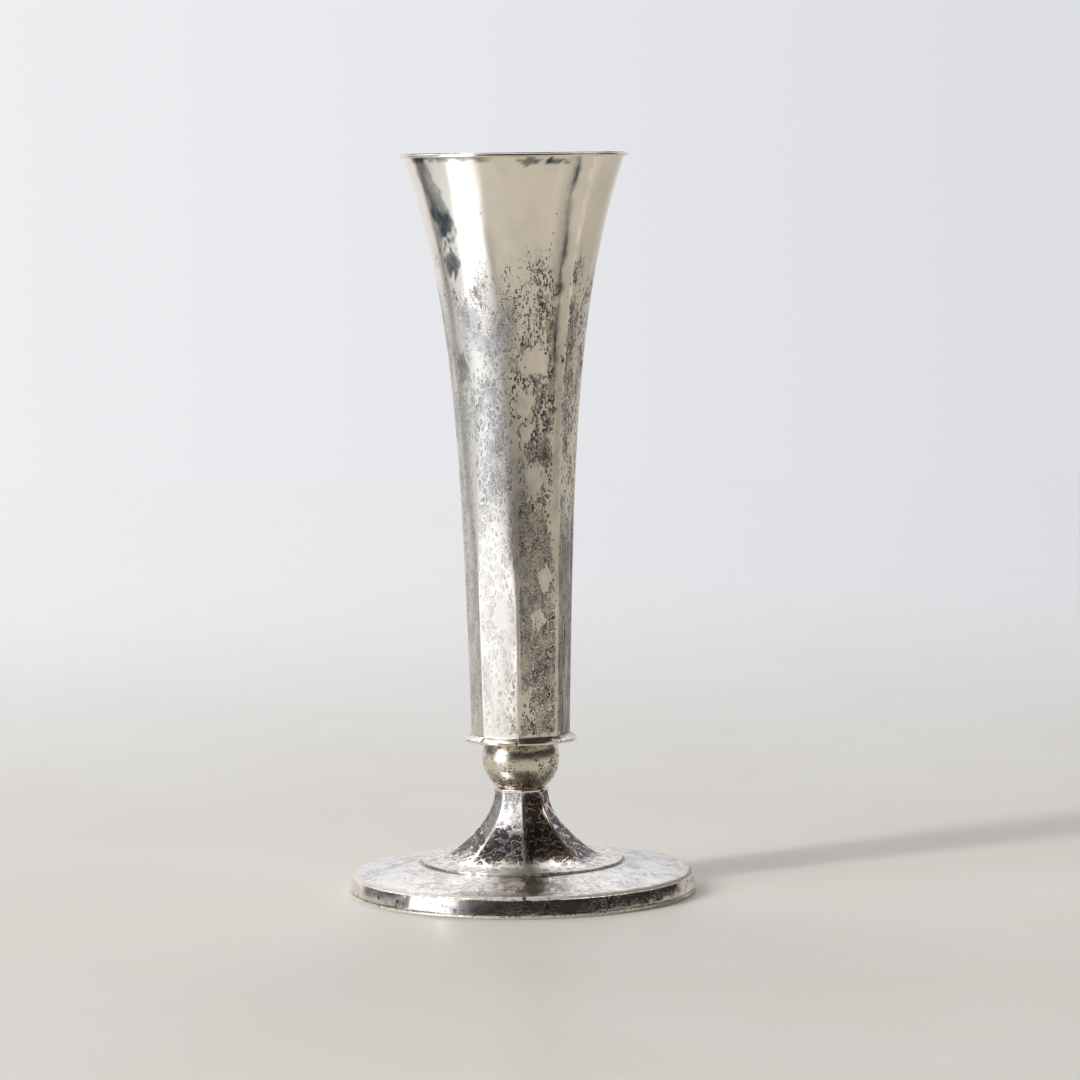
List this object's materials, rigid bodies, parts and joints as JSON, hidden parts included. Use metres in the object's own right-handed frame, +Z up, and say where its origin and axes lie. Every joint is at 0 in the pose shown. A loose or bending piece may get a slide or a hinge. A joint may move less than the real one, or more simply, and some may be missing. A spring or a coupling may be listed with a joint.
{
  "type": "trumpet vase",
  "caption": "Tarnished silver-plated trumpet vase: faceted flared body on a lobed collar, ball knop, spreading faceted stem and weighted round foot, held together by a tie bolt",
  "frame": {"origin": "centre of the foot wire's underside, on the table", "axes": "+Z runs up the axis of the vase; one arris of the body faces -Y"},
  "size_m": [0.1178, 0.1178, 0.25],
  "materials": {
    "plated_body": "hammered silver plate on brass, tarnished in mottled patches",
    "plated_inside": "silver plate on brass, dulled by water",
    "plated_wire": "silver plate on brass, worn bright on the edge",
    "plated_collar": "silver plate on brass, bright with dark recesses",
    "plated_knop": "polished silver plate on brass, specked with tarnish",
    "plated_stem": "hammered silver plate on brass, heavily tarnished between the arrises",
    "plated_foot": "hammered silver plate on brass, streaked with tarnish",
    "bolt_brass": "plain turned brass, dulled",
    "filling_pitch": "cast pitch",
    "bottom_tin": "dull tinned sheet",
    "felt": "dark green pressed felt"
  },
  "bodies": {
    "root": {"mouth_wire": "plated_wire", "trumpet_body": "plated_body", "body_floor": "plated_inside", "tie_bolt": "bolt_brass", "collar_plate": "plated_collar", "knop_upper_cup": "plated_knop", "knop_lower_cup": "plated_knop", "stem_cap": "plated_stem", "tie_washer": "bolt_brass", "tie_nut": "bolt_brass", "stem_foot": "plated_stem", "base_disc": "plated_foot", "foot_wire": "plated_wire", "foot_filling": "filling_pitch", "bottom_plate": "bottom_tin", "felt_pad": "felt"}
  },
  "joints": []
}
